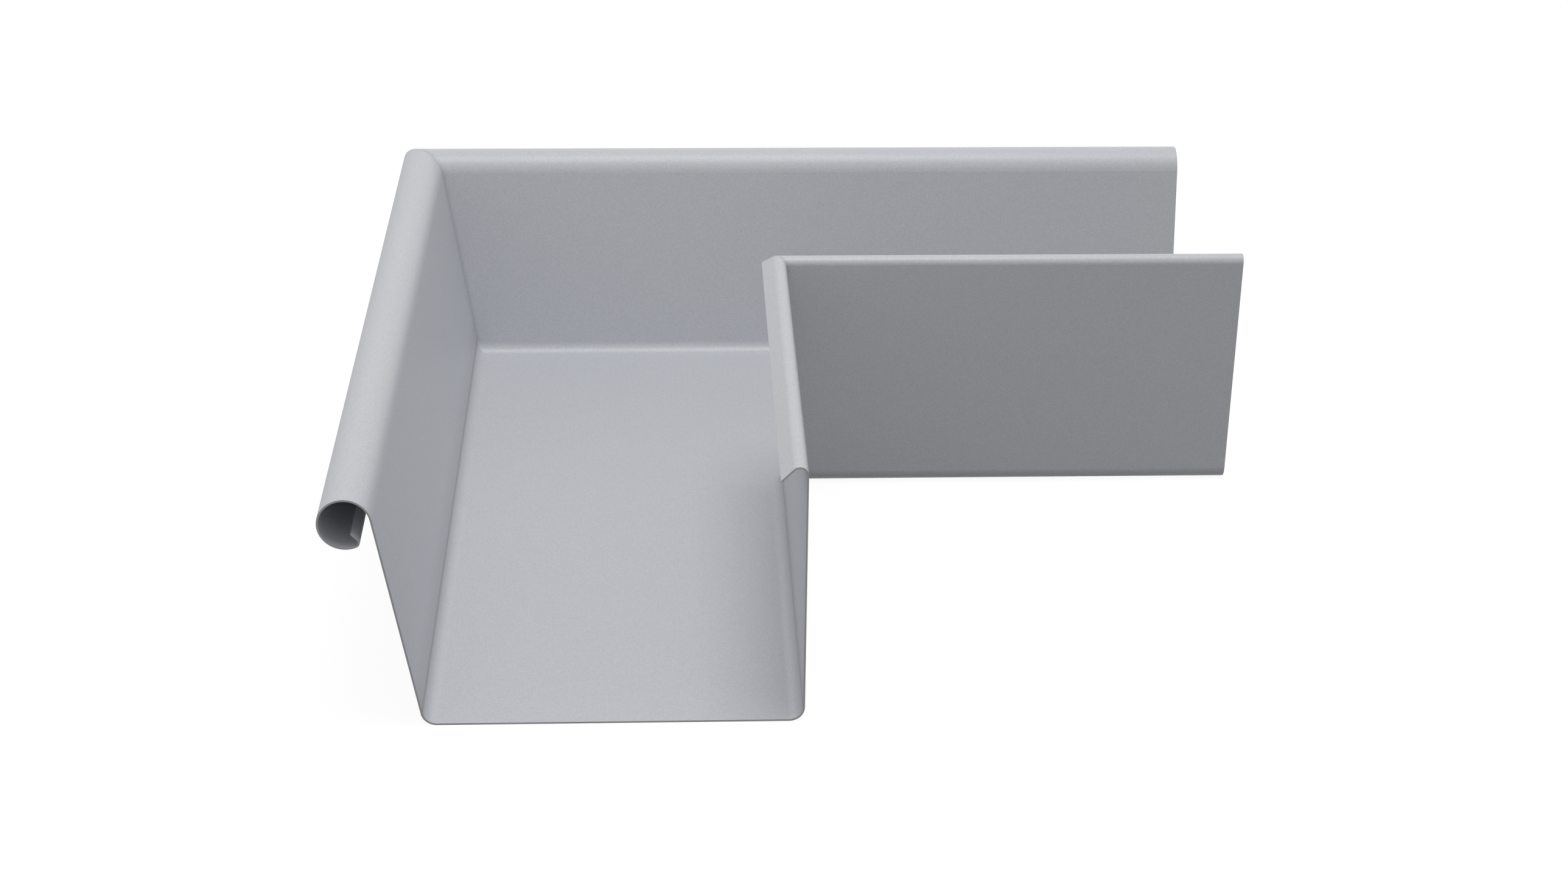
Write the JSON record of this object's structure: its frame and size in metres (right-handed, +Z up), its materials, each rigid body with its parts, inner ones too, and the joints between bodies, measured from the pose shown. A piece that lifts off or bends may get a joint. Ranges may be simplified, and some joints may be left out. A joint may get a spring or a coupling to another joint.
{
  "type": "gutter external angle",
  "caption": "Right-angled corner of box gutter in thin coated sheet, for the outside corner of a building, with a hollow rolled bead along its outer edge and a sloping fold along its rear edge.",
  "frame": {"origin": "on the underside, where the centre lines of the two legs meet at the mitre", "axes": "+Z up out of the open channel, one leg along -Y and the other along +X, the bead towards -X and +Y"},
  "size_m": [0.3136, 0.3136, 0.0898],
  "materials": {
    "coated_sheet": "satin silver-grey metallic coating"
  },
  "bodies": {
    "root": {"gutter_angle": "coated_sheet"}
  },
  "joints": []
}
